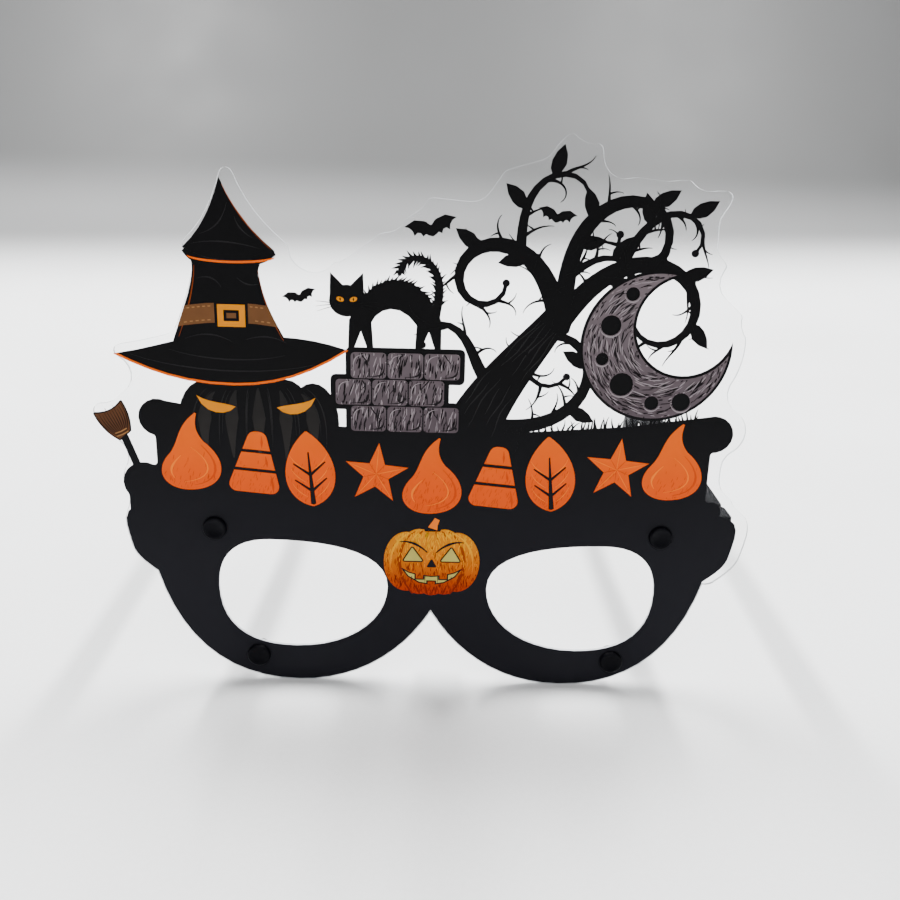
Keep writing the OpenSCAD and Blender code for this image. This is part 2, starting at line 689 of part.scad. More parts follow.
shank_end_wall = 0.4;
shank_h = ink_t + sheet_t + frame_t + rivet_cap_h - shank_end_wall;
head_round = 0.5 * rivet_head_h;
dish_r = rivet_head_r - head_round;
module rivet(p, side) {
    color([0.1, 0.1, 0.12]) placed() translate([0, -ink_t, 0]) at_rivet(p, side) {
        rotate_extrude($fn = 16) polygon(concat([[0, 0], [rivet_head_r, 0]],
            [for (a = [0:30:90]) [dish_r + head_round * cos(a), rivet_head_h - head_round * (1 - sin(a))]],
            [for (u = [0.8, 0.5, 0]) [dish_r * u, rivet_head_h - rivet_dish * (1 - u * u)]]));
        translate([0, 0, -shank_h]) cylinder(r = rivet_r, h = shank_h, $fn = 16);
    }
}
cap_wall = 0.3;
module rivet_cap(p, side) {
    color([0.1, 0.1, 0.12]) placed() translate([0, frame_back_y + rivet_cap_h, 0]) at_rivet(p, side)
        difference() {
            rotate_extrude($fn = 16) polygon([[0, 0], [rivet_cap_r - 2 * cap_wall, 0],
                [rivet_cap_r, 1.4 * cap_wall], [rivet_cap_r, rivet_cap_h], [0, rivet_cap_h]]);
            translate([0, 0, cap_wall])
                cylinder(r = rivet_r + hole_clearance / 2, h = rivet_cap_h, $fn = 16);
        }
}

front_sheet();
print_black();
print_orange();
print_stone();
print_brown();
print_amber();
print_pumpkin();
frame_front();
temple(-1);  // temple_left
temple(1);  // temple_right
hinge_pin(-1);  // hinge_pin_left
hinge_pin(1);  // hinge_pin_right
rivet(rivet_top, -1);  // rivet_top_left
rivet(rivet_top, 1);  // rivet_top_right
rivet(rivet_low, -1);  // rivet_bottom_left
rivet(rivet_low, 1);  // rivet_bottom_right
rivet_cap(rivet_top, -1);  // rivet_cap_top_left
rivet_cap(rivet_top, 1);  // rivet_cap_top_right
rivet_cap(rivet_low, -1);  // rivet_cap_bottom_left
rivet_cap(rivet_low, 1);  // rivet_cap_bottom_right
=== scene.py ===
"""Party glasses on a pale table: a printed clear sheet on a black moulded frame with folding temples."""
import math
import random

import bmesh
import bpy
from mathutils import Matrix, Vector
from mathutils.bvhtree import BVHTree
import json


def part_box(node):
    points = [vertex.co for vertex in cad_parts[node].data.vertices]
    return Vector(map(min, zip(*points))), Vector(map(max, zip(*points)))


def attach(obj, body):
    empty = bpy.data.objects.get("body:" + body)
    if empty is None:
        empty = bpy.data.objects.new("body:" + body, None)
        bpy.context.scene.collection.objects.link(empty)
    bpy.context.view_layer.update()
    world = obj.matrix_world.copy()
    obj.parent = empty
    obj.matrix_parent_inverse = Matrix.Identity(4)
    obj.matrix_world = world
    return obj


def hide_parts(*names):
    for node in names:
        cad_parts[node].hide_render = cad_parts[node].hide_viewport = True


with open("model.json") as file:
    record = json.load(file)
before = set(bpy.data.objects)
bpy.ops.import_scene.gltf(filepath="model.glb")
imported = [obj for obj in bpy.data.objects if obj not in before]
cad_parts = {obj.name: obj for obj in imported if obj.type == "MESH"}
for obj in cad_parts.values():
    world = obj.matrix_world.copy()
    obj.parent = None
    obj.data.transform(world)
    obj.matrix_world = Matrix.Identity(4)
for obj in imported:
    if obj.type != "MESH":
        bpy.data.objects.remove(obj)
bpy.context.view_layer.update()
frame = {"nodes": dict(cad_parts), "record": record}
nodes = frame["nodes"]
MM = 0.001
mounts = {m["name"]: Vector(m["pos_m"]) for m in frame["record"]["mounts"]}
BLACK_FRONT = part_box("print_black")[0].y
COLOR_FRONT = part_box("print_orange")[0].y
# The drawing's zero point: the print's middle, just left of the nose, at the height of the banner's corners
PRINT_X = mounts["nose_saddle"].x - 1.5 * MM
BANNER_TOP = 75.1 * MM


# Camera, fitted to the photograph

FOCAL_PX, PHOTO_PX, SENSOR = 965.0, 900.0, 36.0
PITCH, YAW, ROLL = math.radians(18.0), math.radians(0.68), math.radians(1.54)
EYE = Vector((2.683, -293.343, 136.077)) * MM


def add_camera():
    ahead = Vector((math.sin(YAW) * math.cos(PITCH), math.cos(YAW) * math.cos(PITCH), -math.sin(PITCH)))
    level = Vector((math.cos(YAW), -math.sin(YAW), 0))
    up = level.cross(ahead)
    right = level * math.cos(ROLL) + up * math.sin(ROLL)
    top = -level * math.sin(ROLL) + up * math.cos(ROLL)
    turn = Matrix((right, top, -ahead)).transposed()
    camera = bpy.data.objects.new("camera", bpy.data.cameras.new("camera"))
    camera.data.sensor_width = SENSOR
    camera.data.lens = FOCAL_PX / PHOTO_PX * SENSOR
    camera.data.clip_start = 0.01
    camera.matrix_world = Matrix.Translation(EYE) @ turn.to_4x4()
    bpy.context.scene.collection.objects.link(camera)
    bpy.context.scene.camera = camera


# Node trees

class Tree:
    """Adds nodes and links to one shader or geometry tree."""

    def __init__(self, tree):
        self.tree = tree

    def add(self, kind, inputs=None, **settings):
        node = self.tree.nodes.new(kind)
        for key, value in settings.items():
            setattr(node, key, value)
        for key, value in (inputs or {}).items():
            self.feed(value, node.inputs[key])
        return node

    def feed(self, value, socket):
        if isinstance(value, bpy.types.NodeSocket):
            self.tree.links.new(value, socket)
        else:
            socket.default_value = value

    def math(self, operation, a, b=0.0, clamp=False):
        return self.add("ShaderNodeMath", {0: a, 1: b}, operation=operation, use_clamp=clamp).outputs[0]

    def ramp(self, value, low, high, to_low=0.0, to_high=1.0, curve="LINEAR"):
        return self.add("ShaderNodeMapRange", {0: value, 1: low, 2: high, 3: to_low, 4: to_high},
                        interpolation_type=curve).outputs[0]

    def split(self, vector):
        return self.add("ShaderNodeSeparateXYZ", {0: vector}).outputs

    def join(self, x, y, z):
        return self.add("ShaderNodeCombineXYZ", {0: x, 1: y, 2: z}).outputs[0]

    def noise(self, where, scale, detail=2.0):
        inputs = {"Vector": where, "Scale": scale, "Detail": detail}
        return self.add("ShaderNodeTexNoise", inputs).outputs[0]

    def random(self, low, high, seed):
        return self.add("FunctionNodeRandomValue", {2: low, 3: high, 8: seed}, data_type="FLOAT").outputs[1]

    def mix(self, factor, a, b, blend="MIX"):
        node = self.add("ShaderNodeMix", {0: factor, 6: a, 7: b}, data_type="RGBA", blend_type=blend)
        return node.outputs[2]


SOCKETS = {"color": "NodeSocketColor", "value": "NodeSocketFloat", "vector": "NodeSocketVector",
           "whole": "NodeSocketInt", "geometry": "NodeSocketGeometry", "material": "NodeSocketMaterial"}


def group(name, kind, inputs, outputs):
    """An empty group with named sockets: its Tree, its inputs and its output node's sockets."""
    tree = bpy.data.node_groups.new(name, kind)
    for key, (socket_kind, default) in inputs.items():
        socket = tree.interface.new_socket(key, in_out="INPUT", socket_type=SOCKETS[socket_kind])
        if default is not None:
            socket.default_value = default
    for key, socket_kind in outputs.items():
        tree.interface.new_socket(key, in_out="OUTPUT", socket_type=SOCKETS[socket_kind])
    t = Tree(tree)
    return t, t.add("NodeGroupInput").outputs, t.add("NodeGroupOutput").inputs


# Meshes

def add_object(name, mesh):
    piece = bpy.data.objects.new(name, mesh)
    bpy.context.scene.collection.objects.link(piece)
    return piece


def settle(piece, body, slot, *replaced):
    """The piece rides on its body and stands for the solids that it replaces; its slot is not used."""
    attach(piece, body)
    if replaced:
        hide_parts(*replaced)


def evaluated(piece):
    """Turns a piece's modifiers into its mesh."""
    graph = bpy.context.evaluated_depsgraph_get()
    graph.update()
    mesh = bpy.data.meshes.new_from_object(piece.evaluated_get(graph))
    piece.modifiers.clear()
    piece.data = mesh


def grown(piece, recipe, values):
    """Runs a geometry group on a piece and keeps the mesh that it makes."""
    modifier = piece.modifiers.new(recipe.name, "NODES")
    modifier.node_group = recipe
    for item in recipe.interface.items_tree:
        if item.item_type == "SOCKET" and item.in_out == "INPUT" and item.name in values:
            modifier[item.identifier] = values[item.name]
    evaluated(piece)


def rounded_look(mesh, angle=35):
    mesh.shade_smooth()
    mesh.set_sharp_from_angle(angle=math.radians(angle))


def merged(name, node, flat=2):
    """A copy of a solid with shared corners and whole flat faces."""
    shape = bmesh.new()
    shape.from_mesh(nodes[node].data)
    bmesh.ops.remove_doubles(shape, verts=shape.verts, dist=0.002 * MM)
    bmesh.ops.dissolve_limit(shape, angle_limit=math.radians(flat), verts=shape.verts, edges=shape.edges)
    mesh = bpy.data.meshes.new(name)
    shape.to_mesh(mesh)
    shape.free()
    return mesh


def softened(name, node, width, segments=3, corner=40, flat=6):
    """A merged copy of a solid whose corners are rounded."""
    piece = add_object(name, merged(name, node, flat))
    bevel = piece.modifiers.new("bevel", "BEVEL")
    bevel.width = width
    bevel.segments = segments
    bevel.limit_method = "ANGLE"
    bevel.angle_limit = math.radians(corner)
    bevel.use_clamp_overlap = True
    evaluated(piece)
    rounded_look(piece.data)
    piece.data.materials.clear()
    return piece


def turned(name, profile, place, steps=72):
    """A round piece from a profile of radii and heights in millimetres, the heights towards -Y."""
    mesh = bpy.data.meshes.new(name)
    last = len(profile) - 1
    mesh.from_pydata([(r * MM, 0, h * MM) for r, h in profile], [(i, i + 1) for i in range(last)], [])
    piece = add_object(name, mesh)
    spin = piece.modifiers.new("spin", "SCREW")
    spin.axis = "Z"
    spin.steps = spin.render_steps = steps
    spin.use_merge_vertices = True
    spin.merge_threshold = 0.001 * MM
    evaluated(piece)
    shape = bmesh.new()
    shape.from_mesh(piece.data)
    bmesh.ops.recalc_face_normals(shape, faces=shape.faces)
    shape.transform(Matrix.Translation(place) @ Matrix.Rotation(math.radians(90), 4, "X"))
    shape.to_mesh(piece.data)
    shape.free()
    rounded_look(piece.data, 30)
    return piece


# Geometry groups for the print

# A hatching stroke is at most this many times as long as its middle's distance from the field's edge
ROOM_SHARE = 1.9


def make_hatching_group():
    """Short strokes scattered over a flat field, straight or round a centre, shorter towards its edge."""
    t, given, out = group("hatching", "GeometryNodeTree", {
        "Field": ("geometry", None), "Density": ("value", 1e6), "Seed": ("whole", 1),
        "Length": ("value", 1.6 * MM), "Width": ("value", 0.12 * MM), "Angle": ("value", 0.0),
        "Spread": ("value", 0.3), "Round": ("value", 0.0), "Centre": ("vector", (0, 0, 0)),
        "Sparse At": ("value", 0.0), "Dense At": ("value", 1.0), "Thickness": ("value", 0.03 * MM),
        "Material": ("material", None)}, {"Strokes": "geometry"})

    def varied(low, high, seed_step):
        return t.random(low, high, t.math("ADD", given["Seed"], seed_step))

    spots = t.add("GeometryNodeDistributePointsOnFaces", {
        "Mesh": given["Field"], "Density": given["Density"], "Seed": given["Seed"]}).outputs["Points"]
    here = t.add("GeometryNodeInputPosition").outputs[0]
    share = t.ramp(t.split(here)[2], given["Sparse At"], given["Dense At"])
    unwanted = t.math("GREATER_THAN", varied(0.0, 1.0, 7.0), share)
    kept = t.add("GeometryNodeDeleteGeometry", {"Geometry": spots, "Selection": unwanted}, domain="POINT")
    at_rim = t.math("LESS_THAN", t.add("GeometryNodeInputMeshEdgeNeighbors").outputs[0], 1.5)
    rim = t.add("GeometryNodeSeparateGeometry", {"Geometry": given["Field"], "Selection": at_rim},
                domain="EDGE")
    room = t.add("GeometryNodeProximity", {0: rim.outputs[0]}, target_element="EDGES").outputs["Distance"]
    wanted = t.math("MULTIPLY", given["Length"], varied(0.45, 1.0, 1.0))
    length = t.math("MINIMUM", wanted, t.math("MULTIPLY", room, ROOM_SHARE))
    width = t.math("MULTIPLY", given["Width"], varied(0.5, 1.2, 2.0))
    away = t.add("ShaderNodeVectorMath", {0: here, 1: given["Centre"]}, operation="SUBTRACT").outputs[0]
    across, _, up = t.split(away)
    round_it = t.math("ADD", t.math("ARCTAN2", up, across), math.pi / 2)
    lean = t.math("MULTIPLY", given["Spread"], varied(-1.0, 1.0, 3.0))
    angle = t.math("ADD", t.math("ADD", given["Angle"], lean), t.math("MULTIPLY", given["Round"], round_it))
    stroke = t.add("GeometryNodeMeshCylinder", {"Vertices": 6, "Radius": 0.5, "Depth": 1.0}).outputs[0]
    strokes = t.add("GeometryNodeInstanceOnPoints", {
        "Points": kept.outputs[0], "Instance": stroke,
        "Rotation": t.join(math.pi / 2, t.math("MULTIPLY", angle, -1.0), 0.0),
        "Scale": t.join(length, width, given["Thickness"])}).outputs[0]
    strokes = t.add("GeometryNodeRealizeInstances", {"Geometry": strokes}).outputs[0]
    t.feed(t.add("GeometryNodeSetMaterial", {0: strokes, 2: given["Material"]}).outputs[0], out[0])
    return t.tree


def make_pen_group():
    """Flat pen strokes along the edges of a line drawing; each point carries its width and lift."""
    t, given, out = group("pen_strokes", "GeometryNodeTree", {
        "Lines": ("geometry", None), "Thickness": ("value", 0.03 * MM), "Plane": ("value", 0.0),
        "Material": ("material", None)}, {"Strokes": "geometry"})

    def carried(name):
        return t.add("GeometryNodeInputNamedAttribute", {"Name": name}, data_type="FLOAT").outputs[0]

    lines = t.add("GeometryNodeMeshToCurve", {0: given["Lines"]}).outputs[0]
    lines = t.add("GeometryNodeSetCurveNormal", {"Curve": lines, "Normal": (0, -1, 0)}, mode="FREE")
    nib = t.add("GeometryNodeCurvePrimitiveQuadrilateral", {0: 0.2, 1: 1.0}).outputs[0]
    strokes = t.add("GeometryNodeCurveToMesh", {
        "Curve": lines.outputs[0], "Profile Curve": nib, "Scale": carried("width"), "Fill Caps": True})
    x, y, z = t.split(t.add("GeometryNodeInputPosition").outputs[0])
    side = t.math("SIGN", t.math("SUBTRACT", y, given["Plane"]))
    rise = t.math("MULTIPLY", given["Thickness"], carried("lift"))
    depth = t.math("ADD", given["Plane"], t.math("MULTIPLY", side, rise))
    flat = t.add("GeometryNodeSetPosition", {"Geometry": strokes.outputs[0], "Position": t.join(x, depth, z)})
    facets = t.add("GeometryNodeSetShadeSmooth", {"Geometry": flat.outputs[0], "Shade Smooth": False})
    t.feed(t.add("GeometryNodeSetMaterial", {0: facets.outputs[0], 2: given["Material"]}).outputs[0], out[0])
    return t.tree


HATCHING = make_hatching_group()
PEN = make_pen_group()


def on_print(x, z):
    """A place on the drawing, in millimetres, as scene metres."""
    return PRINT_X + x * MM, BANNER_TOP + z * MM


# What counts as a film's front: the way its faces look along Y, and how far behind the front they may lie
FRONT_FACING, FRONT_SLACK = -0.9, 0.01 * MM


def printed_field(name, node, left, right):
    """The front of a film between two distances across the print."""
    shape = bmesh.new()
    shape.from_mesh(merged(name, node))
    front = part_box(node)[0].y + FRONT_SLACK
    low, high = on_print(left, 0)[0], on_print(right, 0)[0]

    def is_field(face):
        middle = face.calc_center_median()
        return face.normal.y <= FRONT_FACING and middle.y <= front and low < middle.x < high

    bmesh.ops.delete(shape, geom=[f for f in shape.faces if not is_field(f)], context="FACES")
    bmesh.ops.triangulate(shape, faces=shape.faces)
    mesh = bpy.data.meshes.new(name)
    shape.to_mesh(mesh)
    shape.free()
    return mesh


# Further out than any print, in millimetres
BEYOND = 1000


def hatch(name, node, slot, finish, density, length, width, angle, seed, spread=0.3, left=-BEYOND,
          right=BEYOND, centre=None, sparse=-1.0, dense=0.0, thickness=0.03):
    """Hatches a film with strokes in millimetres and degrees, so many to the square millimetre.

    The strokes thin out from the height dense to the height sparse, which are in metres.
    """
    piece = add_object(name, printed_field(name, node, left, right))
    middle = on_print(*centre) if centre else (0, 0)
    grown(piece, HATCHING, {
        "Density": density / MM ** 2, "Seed": seed, "Length": length * MM, "Width": width * MM,
        "Angle": math.radians(angle), "Spread": spread, "Round": 1.0 if centre else 0.0,
        "Centre": (middle[0], COLOR_FRONT, middle[1]), "Sparse At": sparse, "Dense At": dense,
        "Thickness": 2 * thickness * MM, "Material": finish})
    settle(piece, "front", slot)


# Strokes that cross stand this much further out, one after another, so that no two lie in one plane
LIFT_STEP, LIFT_STEPS = 0.02, 25


def draw(name, strokes, slot, finish, plane=BLACK_FRONT, thickness=0.03):
    """Draws strokes: each is a list of points on the print and its widths at the start, middle and end."""
    places, edges, widths, lifts = [], [], [], []
    for k, (points, (start, middle, end)) in enumerate(strokes):
        first, last = len(places), len(points) - 1
        lifts += [1 + LIFT_STEP * (k % LIFT_STEPS)] * len(points)
        for i, (x, z) in enumerate(points):
            t = 2 * i / last
            widths.append((start + (middle - start) * t if t < 1 else middle + (end - middle) * (t - 1)) * MM)
            across, height = on_print(x, z)
            places.append((across, plane, height))
        edges += [(first + i, first + i + 1) for i in range(last)]
    mesh = bpy.data.meshes.new(name)
    mesh.from_pydata(places, edges, [])
    for key, values in (("width", widths), ("lift", lifts)):
        mesh.attributes.new(key, "FLOAT", "POINT").data.foreach_set("value", values)
    piece = add_object(name, mesh)
    grown(piece, PEN, {"Thickness": thickness * MM, "Plane": plane, "Material": finish})
    for key in ("width", "lift"):
        if piece.data.attributes.get(key):
            piece.data.attributes.remove(piece.data.attributes[key])
    settle(piece, "front", slot)


# Lines for the pen, in millimetres on the print

def bend(a, b, c, d, steps=10):
    """A Bezier curve from a to d."""
    line = []
    for i in range(steps + 1):
        t = i / steps
        weights = ((1 - t) ** 3, 3 * t * (1 - t) ** 2, 3 * t * t * (1 - t), t ** 3)
        line.append(tuple(sum(w * p[k] for w, p in zip(weights, (a, b, c, d))) for k in (0, 1)))
    return line


def curl(start, heading, length, bend_start, bend_end, steps=14):
    """A line that bends from one curvature to another, in degrees per millimetre."""
    (x, z), line = start, [start]
    for i in range(steps):
        heading += (bend_start + (bend_end - bend_start) * i / steps) * length / steps
        x += length / steps * math.cos(math.radians(heading))
        z += length / steps * math.sin(math.radians(heading))
        line.append((x, z))
    return line


def heading_of(a, b):
    """The direction from one point to the next, in degrees."""
    return math.degrees(math.atan2(b[1] - a[1], b[0] - a[0]))


def moved(line, place, size=1.0, turn=0.0):
    c, s = math.cos(math.radians(turn)) * size, math.sin(math.radians(turn)) * size
    return [(place[0] + c * x - s * z, place[1] + s * x + c * z) for x, z in line]


def mirrored(line):
    return [(-x, z) for x, z in line]


def penned(lines, widths, place, size=1.0, turn=0.0):
    """The strokes that one pen draws along some lines, at the place of their motif."""
    return [(moved(line, place, size, turn), widths) for line in lines]


# Shader groups

def rgb(red, green, blue):
    """A shader colour from the 0 to 255 values that a screen shows."""
    def linear(v):
        v /= 255
        return v / 12.92 if v <= 0.04045 else ((v + 0.055) / 1.055) ** 2.4
    return (linear(red), linear(green), linear(blue), 1.0)


def make_grain_group():
    """Fine moulded grain, cloudy sheen and hairline scuffs."""
    t, given, out = group("moulded_grain", "ShaderNodeTree", {
        "Color": ("color", (0.02, 0.02, 0.02, 1)), "Worn Color": ("color", (0.08, 0.08, 0.08, 1)),
        "Grain Scale": ("value", 2600.0), "Roughness Low": ("value", 0.3), "Roughness High": ("value", 0.5),
        "Scuffs": ("value", 0.3)}, {"Color": "color", "Roughness": "value", "Height": "value"})
    where = t.add("ShaderNodeTexCoord").outputs["Object"]
    grain = t.noise(where, given["Grain Scale"], detail=3.0)
    cloud = t.noise(where, scale=70.0, detail=4.0)
    along = t.add("ShaderNodeMapping", {0: where, 2: (0.4, 0.9, 0.3), 3: (1.0, 1.0, 9.0)}).outputs[0]
    hair = t.ramp(t.noise(along, scale=420.0), 0.66, 0.74)
    scuff = t.math("MULTIPLY", hair, given["Scuffs"], clamp=True)
    scuff = t.math("MULTIPLY", scuff, t.ramp(cloud, 0.45, 0.65))
    sheen = t.ramp(cloud, 0.3, 0.7, given["Roughness Low"], given["Roughness High"])
    t.feed(t.mix(scuff, given["Color"], given["Worn Color"]), out["Color"])
    t.feed(t.math("ADD", sheen, t.math("MULTIPLY", scuff, 0.2)), out["Roughness"])
    t.feed(t.math("SUBTRACT", grain, t.math("MULTIPLY", scuff, 1.5)), out["Height"])
    return t.tree


def make_ink_group():
    """Ink that shifts from one colour at its foot to another at its top, with dots and mottling."""
    t, given, out = group("printed_ink", "ShaderNodeTree", {
        "Low Color": ("color", (0.5, 0.2, 0.05, 1)), "High Color": ("color", (0.8, 0.3, 0.05, 1)),
        "Foot": ("value", 0.0), "Top": ("value", 0.1), "Mottle": ("value", 0.15),
        "Mottle Scale": ("value", 260.0), "Screen": ("value", 0.1), "Roughness": ("value", 0.4)},
        {"Color": "color", "Roughness": "value", "Height": "value"})
    where = t.add("ShaderNodeTexCoord").outputs["Object"]
    rise = t.ramp(t.split(where)[2], given["Foot"], given["Top"], curve="SMOOTHSTEP")
    mottle = t.noise(where, given["Mottle Scale"], detail=5.0)
    screen = t.add("ShaderNodeMapping", {0: where, 2: (0.0, math.radians(45), 0.0)}).outputs[0]
    screen = t.add("ShaderNodeTexVoronoi", {"Vector": screen, "Scale": 3400.0, "Randomness": 0.0}).outputs[0]
    dots = t.ramp(screen, 0.25, 0.6)
    shade = t.math("ADD", t.math("MULTIPLY", t.math("SUBTRACT", mottle, 0.5), given["Mottle"]),
                   t.math("MULTIPLY", t.math("SUBTRACT", dots, 0.5), given["Screen"]))
    color = t.mix(rise, given["Low Color"], given["High Color"])
    value = t.math("ADD", shade, 1.0)
    t.feed(t.add("ShaderNodeHueSaturation", {"Value": value, "Color": color}).outputs[0], out["Color"])
    t.feed(t.math("ADD", given["Roughness"], t.math("MULTIPLY", shade, 0.5)), out["Roughness"])
    t.feed(t.math("ADD", mottle, t.math("MULTIPLY", dots, 0.15)), out["Height"])
    return t.tree


GRAIN = make_grain_group()
INK = make_ink_group()
BUMP_HEIGHT = 0.02 * MM


def new_material(name):
    """A new material: itself, its Tree and the inputs of its shader."""
    made = bpy.data.materials.new(name)
    made.use_nodes = True
    return made, Tree(made.node_tree), made.node_tree.nodes["Principled BSDF"].inputs


def material(name, settings, recipe, values, bump):
    """A Principled material whose colour, roughness and bump come from one of the groups."""
    made, t, shader = new_material(name)
    for key, value in settings.items():
        shader[key].default_value = value
    effect = t.add("ShaderNodeGroup", node_tree=recipe)
    for key, value in values.items():
        effect.inputs[key].default_value = value
    t.feed(effect.outputs["Color"], shader["Base Color"])
    t.feed(effect.outputs["Roughness"], shader["Roughness"])
    relief = t.add("ShaderNodeBump", {
        "Strength": bump, "Distance": BUMP_HEIGHT, "Height": effect.outputs["Height"]})
    t.feed(relief.outputs[0], shader["Normal"])
    return made


def ink(name, low, high, foot=0, top=100, mottle=0.12, screen=0.05, gloss=0.05):
    """Ink between two screen colours, whose foot and top are in millimetres above the table."""
    return material(name, {"IOR": 1.46, "Specular IOR Level": gloss}, INK, {
        "Low Color": rgb(*low), "High Color": rgb(*high), "Foot": foot * MM, "Top": top * MM,
        "Mottle": mottle, "Screen": screen, "Roughness": 0.45}, bump=0.1)


def moulded(name, color, worn, low, high, gloss, scuffs=0.3, bump=0.25):
    """Plastic in a screen colour, with its worn colour, lowest and highest roughness and gloss."""
    return material(name, {"IOR": 1.5, "Specular IOR Level": gloss}, GRAIN, {
        "Color": rgb(*color), "Worn Color": rgb(*worn), "Roughness Low": low, "Roughness High": high,
        "Scuffs": scuffs}, bump=bump)


def clear_plastic(name, color, alpha, roughness):
    """See-through plastic, a little cloudy and uneven; the lower its alpha, the clearer it is."""
    made, t, shader = new_material(name)
    where = t.add("ShaderNodeTexCoord").outputs["Object"]
    haze = t.noise(where, scale=35.0, detail=6.0)
    waves = t.noise(where, scale=22.0, detail=1.0)
    relief = t.add("ShaderNodeBump", {"Strength": 0.3, "Distance": 0.15 * MM, "Height": waves})
    paler = rgb(*[min(255, v + 12) for v in color])
    t.feed(t.mix(haze, rgb(*color), paler), shader["Base Color"])
    t.feed(t.ramp(haze, 0.3, 0.7, alpha * 0.8, alpha * 1.2), shader["Alpha"])
    t.feed(t.ramp(haze, 0.3, 0.7, roughness * 0.6, roughness * 1.4), shader["Roughness"])
    t.feed(relief.outputs[0], shader["Normal"])
    t.feed(1.5, shader["IOR"])
    t.feed(0.5, shader["Specular IOR Level"])
    return made


# Table and light, in metres

TABLE_HALF, TABLE_FRONT, TABLE_BACK = 2.6, -1.4, 0.95
CURVE_RADIUS, CURVE_STEPS, BACKDROP_TOP = 0.5, 24, 1.6
# Painted shade where the table and the backdrop darken with height: tilt, lower and upper height, share of
# the colour kept
PAINTED_SHADE_BANDS = ((-0.02, 0.002, 0.05, 0.18), (0.005, 0.052, 0.112, 0.42))
# Each lamp's name, place and aim, its width and depth, and its power in watts
LAMPS = (("tube_left", (-0.5, 0.42, 0.95), (-0.5, 0.42, 0), 0.1, 0.96, 33.0),
         ("tube_right", (0.4, 0.42, 0.95), (0.4, 0.42, 0), 0.1, 0.96, 29.0),
         ("ceiling", (0.0, 0.6, 1.0), (0, -0.12, 0), 1.5, 0.8, 14.0),
         ("front_fill", (0.0, -0.9, 1.0), (0, 0, 0), 0.8, 0.8, 8.0))
ROOM_COLOR, ROOM_STRENGTH = (0.78, 0.79, 0.8, 1.0), 0.3


def table_paper():
    """Pale paper with painted shade that darkens it where it rises into the backdrop."""
    made, t, shader = new_material("pale_table")
    where = t.add("ShaderNodeTexCoord").outputs["Object"]
    x, _, z = t.split(where)
    mottle = t.noise(where, scale=9.0, detail=4.0)
    paper = t.mix(t.ramp(mottle, 0.3, 0.7), rgb(229, 230, 230), rgb(233, 234, 235))
    shade = t.ramp(t.noise(where, scale=700.0, detail=3.0), 0.3, 0.7, 0.985, 1.015)
    # Painted shade: each band darkens the paper's colour towards the top of the backdrop
    for tilt, low, high, kept in PAINTED_SHADE_BANDS:
        height = t.math("ADD", z, t.math("MULTIPLY", x, tilt))
        shade = t.math("MULTIPLY", shade, t.ramp(height, low, high, 1.0, kept, curve="SMOOTHSTEP"))
    t.feed(t.mix(1.0, paper, t.join(shade, shade, shade), "MULTIPLY"), shader["Base Color"])
    t.feed(t.ramp(mottle, 0.3, 0.7, 0.45, 0.55), shader["Roughness"])
    t.feed(0.2, shader["Specular IOR Level"])
    return made


def add_table():
    """A pale table that runs back and curves up into a backdrop greyed by painted shade."""
    bend_at = TABLE_BACK - CURVE_RADIUS
    line = [(TABLE_FRONT, 0.0), (bend_at, 0.0)]
    for i in range(1, CURVE_STEPS + 1):
        a = i / CURVE_STEPS * math.pi / 2
        line.append((bend_at + CURVE_RADIUS * math.sin(a), CURVE_RADIUS - CURVE_RADIUS * math.cos(a)))
    line.append((TABLE_BACK, BACKDROP_TOP))
    verts = [(side * TABLE_HALF, y, z) for y, z in line for side in (-1, 1)]
    faces = [(2 * i, 2 * i + 1, 2 * i + 3, 2 * i + 2) for i in range(len(line) - 1)]
    mesh = bpy.data.meshes.new("table")
    mesh.from_pydata(verts, [], faces)
    mesh.shade_smooth()
    mesh.materials.append(table_paper())
    add_object("table", mesh)


def add_lamp(name, place, aim, width, depth, power):
    lamp = bpy.data.lights.new(name, "AREA")
    lamp.shape = "ELLIPSE"
    lamp.size = width
    lamp.size_y = depth
    lamp.energy = power
    light = bpy.data.objects.new(name, lamp)
    light.location = place
    light.rotation_euler = (Vector(aim) - Vector(place)).to_track_quat("-Z", "Y").to_euler()
    bpy.context.scene.collection.objects.link(light)


def add_lights():
    """Two long tubes at the left and right, a wide soft ceiling, a weak fill and the room's own light."""
    for lamp in LAMPS:
        add_lamp(*lamp)
    world = bpy.data.worlds.new("room")
    world.use_nodes = True
    background = world.node_tree.nodes["Background"].inputs
    background[0].default_value = ROOM_COLOR
    background[1].default_value = ROOM_STRENGTH
    bpy.context.scene.world = world


# Finishes, in the 0 to 255 colours that a screen shows

BLACK_PLASTIC = moulded("black_moulded_plastic", (13, 13, 15), (26, 26, 28), 0.42, 0.55, gloss=0.012)
RIVET_PLASTIC = moulded("rivet_plastic", (5, 5, 9), (24, 24, 30), 0.42, 0.55, gloss=0.05, scuffs=0.15,
                        bump=0.12)
PIN_STEEL = material("pin_steel", {"Metallic": 1.0}, GRAIN, {
    "Color": rgb(176, 178, 182), "Worn Color": rgb(120, 118, 116), "Roughness Low": 0.22,
    "Roughness High": 0.38, "Scuffs": 0.8}, bump=0.2)
CLEAR_FACE = clear_plastic("clear_sheet_face", (150, 152, 156), alpha=0.045, roughness=0.08)
CLEAR_EDGE = clear_plastic("clear_sheet_edge", (198, 201, 205), alpha=0.88, roughness=0.16)

